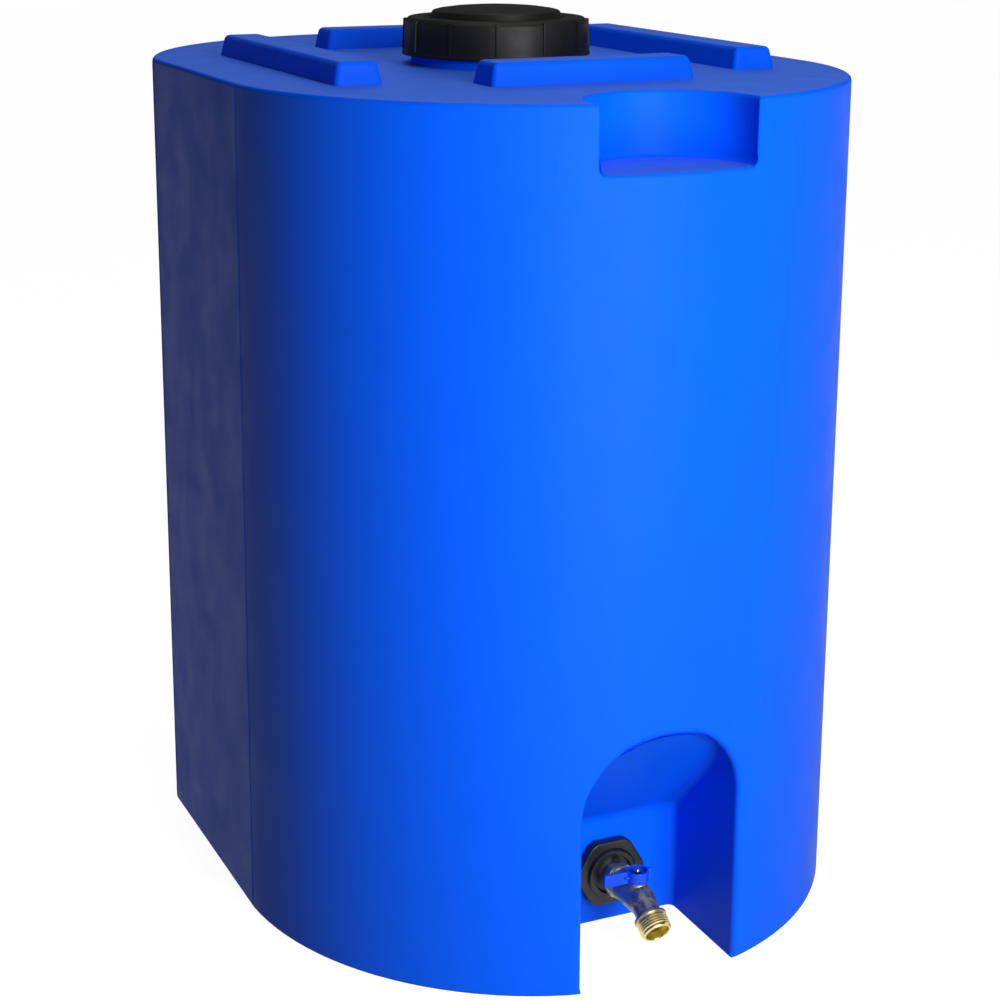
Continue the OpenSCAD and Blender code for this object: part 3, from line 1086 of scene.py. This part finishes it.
    def handle(self) -> None:
        """Builds the blue handle, a cup over the gland with one long and one short wing."""
        upright = Matrix.Rotation(math.radians(90), 4, "X")
        long_wing = [
            (-31, 15.2), (-29.8, 14), (-9.4, 14), (-8.3, 15.2), (-8.3, 18.9), (-5.0, 18.9), (-5.0, 20.9),
            (-8.3, 20.9), (-8.3, 24.0), (-12.5, 25), (-29.8, 25), (-31, 23.8),
        ]
        short_wing = [
            (5.0, 18.9), (8.3, 18.9), (8.3, 15.0), (12.2, 15.0), (13, 15.8), (13, 23.2), (12.2, 24.0),
            (8.3, 24.0), (8.3, 20.9), (5.0, 20.9),
        ]
        wings = [
            rounded(prism(outline, -1.5, 1.5, upright), 0.7, segments=3, least=50.0)
            for outline in (long_wing, short_wing)
        ]
        hub = cylinder(8.6, 18.9, 20.9, steps=48)
        cup = turned([(7.8, 14.6), (9.6, 14.6), (9.6, 24.5), (7.8, 24.5)], Matrix(), 64, ring=True)
        rounded(cup, 0.6, segments=2)
        # The flange that stiffens the wings where they leave the hub.
        web = box_solid((-13.0, -3.6, 18.95), (9.5, 3.6, 20.85))
        rounded(web, 0.7, segments=2)
        square = box_solid((-2.15, -2.15, 10.0), (2.15, 2.15, 30.0))
        solid = carved(cup, *((Join.ADD, part) for part in (hub, web, *wings)), (Join.CUT, square))
        bmesh.ops.transform(solid, matrix=self.frame_stem(), verts=solid.verts)
        finished(solid, "handle", Body.LEVER, "valve_handle", "handle_blue", self.finishes.handle_blue)

    def nuts(self) -> None:
        """Builds the gland nut and the handle's nut."""
        gland = self.hexagon(12.0, 6.6, 16.1, 18.6, 0.35)
        sleeve = cylinder(5.1, 14.5, 17, steps=48)
        way = cylinder(self.stem_hole_r, 10, 25, steps=48)
        solid = carved(gland, (Join.ADD, sleeve), (Join.CUT, way))
        bmesh.ops.transform(solid, matrix=self.frame_stem(), verts=solid.verts)
        finished(solid, "gland", Body.TANK, "gland_nut", "nickel_plate", self.finishes.nickel_plate)
        nut = self.hexagon(7.4, 4.1, 21.7, 24.7, 0.35)
        solid = carved(nut, (Join.CUT, cylinder(2.05, 10, 30, steps=32)))
        bmesh.ops.transform(solid, matrix=self.frame_stem(), verts=solid.verts)
        finished(solid, "top_nut", Body.LEVER, "handle_nut", "zinc_steel", self.finishes.zinc_steel)

    def build(self) -> None:
        """Builds every visible piece of the spigot."""
        self.bulkhead()
        self.inlet()
        self.valve()
        self.handle()
        self.nuts()


def dress_cad_nodes(finishes: Finishes) -> None:
    """Gives the CAD nodes that stay their materials.

    Args:
        finishes: The materials.
    """
    dressed = {
        "cap_gasket": finishes.rubber_black,
        "bulkhead_gasket": finishes.rubber_black,
        "bulkhead_washer": finishes.fitting_black,
        "bulkhead_nut": finishes.fitting_black,
        "inlet_ball_seat": finishes.seat_white,
        "outlet_ball_seat": finishes.seat_white,
        "valve_ball": finishes.ball_chrome,
        "valve_stem": finishes.bare_brass,
        "stem_thrust_washer": finishes.seat_white,
        "stem_o_ring": finishes.rubber_black,
        "stem_packing": finishes.seat_white,
        "handle_washer": finishes.zinc_steel,
    }
    for name, material in dressed.items():
        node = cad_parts[name]
        for slot in node.material_slots:
            slot.material = material
        LOG.info("%s: dressed", name)


# ---- the studio


@dataclass
class Studio:
    """The pale floor, the soft lights and the camera."""

    eye: tuple[float, float, float] = (-0.7387, -1.6316, 0.8689)
    pitch: float = 16.41
    yaw: float = 24.15
    roll: float = 0.17
    focal: float = 73.08
    shift: tuple[float, float] = (0.0196, -0.0318)
    # Strength of the sky where it lights the tank, and where it shows in a shiny face.
    sky_light: float = 0.07
    sky_shine: float = 0.1

    def camera(self) -> None:
        """Makes the camera at the height and angle the tank is seen from."""
        data = bpy.data.cameras.new("camera")
        data.sensor_width = 36.0
        data.lens = self.focal
        data.shift_x, data.shift_y = self.shift
        data.clip_end = 50.0
        eye = bpy.data.objects.new("camera", data)
        eye.location = self.eye
        heading = Matrix.Rotation(math.radians(-self.yaw), 3, "Z")
        tilt = Matrix.Rotation(math.radians(90 - self.pitch), 3, "X")
        eye.rotation_euler = (heading @ tilt @ Matrix.Rotation(math.radians(self.roll), 3, "Z")).to_euler()
        bpy.context.scene.collection.objects.link(eye)
        bpy.context.scene.camera = eye

    def floor(self) -> None:
        """Makes the plain pale floor."""
        bm = bmesh.new()
        bmesh.ops.create_grid(bm, x_segments=1, y_segments=1, size=12.0)
        mesh = bpy.data.meshes.new("floor")
        bm.to_mesh(mesh)
        bm.free()
        material, tree, place = blank_material("pale_floor")
        grain = noise(tree, place, 120.0, 3.0, 0.5)
        shader = add_node(
            tree, "ShaderNodeBsdfPrincipled",
            {
                "Base Color": blend(tree, grain, linear("#6c6c6c"), linear("#727272")), "Roughness": 0.9,
                "Emission Color": linear("#ffffff"), "Emission Strength": 0.94,
            },
        )
        add_node(tree, "ShaderNodeOutputMaterial", {"Surface": shader.outputs[0]})
        mesh.materials.append(material)
        floor = bpy.data.objects.new("floor", mesh)
        bpy.context.scene.collection.objects.link(floor)
        # The floor shines in the metal, but throws no light back on the tank.
        floor.visible_diffuse = False

    @staticmethod
    def lamp(
        name: str, at: tuple[float, float, float], aim: tuple[float, float, float],
        size: tuple[float, float], power: float,
    ) -> None:
        """Hangs a soft rectangular light.

        Args:
            name: Its name.
            at: Where it hangs.
            aim: The point it faces.
            size: Its width and its height.
            power: Its power in watts.
        """
        data = bpy.data.lights.new(name, "AREA")
        data.shape = "RECTANGLE"
        data.size, data.size_y = size
        data.energy = power
        lamp = bpy.data.objects.new(name, data)
        lamp.location = at
        lamp.rotation_euler = (Vector(aim) - Vector(at)).to_track_quat("-Z", "Y").to_euler()
        lamp.visible_camera = False
        bpy.context.scene.collection.objects.link(lamp)

    def lights(self) -> None:
        """Hangs a tall soft key in front, and weak lights above and behind."""
        self.lamp("key", (0.05, -1.5, 0.62), (0.0, 0.0, 0.42), (0.6, 1.7), 35.0)
        self.lamp("top", (0.2, 0.1, 2.6), (0.0, 0.0, 0.7), (1.6, 1.6), 11.0)
        data = bpy.data.lights.new("back", "SUN")
        data.energy = 1.7
        data.angle = math.radians(40)
        back = bpy.data.objects.new("back", data)
        back.rotation_euler = Vector((-0.35, -1.0, -0.45)).to_track_quat("-Z", "Y").to_euler()
        # Kept out of reflections, where it would glare on the deck.
        back.visible_glossy = False
        bpy.context.scene.collection.objects.link(back)

    def sky(self) -> None:
        """Makes a sky that is white behind the tank and dim where it lights it."""
        world = bpy.data.worlds.new("studio")
        world.use_nodes = True
        tree = world.node_tree
        tree.nodes.clear()
        ray = tree.nodes.new("ShaderNodeLightPath")
        strength = ramp(tree, ray.outputs["Is Glossy Ray"], (0.0, 1.0), (self.sky_light, self.sky_shine))
        dim = add_node(tree, "ShaderNodeBackground", {"Color": linear("#f2f4ff"), "Strength": strength})
        pale = add_node(tree, "ShaderNodeBackground", {"Color": linear("#ffffff"), "Strength": 1.0})
        seen = {0: ray.outputs["Is Camera Ray"], 1: dim.outputs[0], 2: pale.outputs[0]}
        both = add_node(tree, "ShaderNodeMixShader", seen)
        add_node(tree, "ShaderNodeOutputWorld", {"Surface": both.outputs[0]})
        bpy.context.scene.world = world
        # Plain sRGB, because the default view greys a blue as strong as this one.
        bpy.context.scene.view_settings.view_transform = "Standard"

    def build(self) -> None:
        """Builds the whole studio."""
        self.camera()
        self.floor()
        self.lights()
        self.sky()


def main() -> None:
    """Builds the tank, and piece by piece."""
    logging.basicConfig(level=logging.INFO, format="%(name)s %(message)s")
    Studio().build()
    finishes = Finishes()
    TankShell(finishes).build()
    ScrewCap(finishes).build()
    Spigot(finishes).build()
    dress_cad_nodes(finishes)


if __name__ == "__main__":
    main()
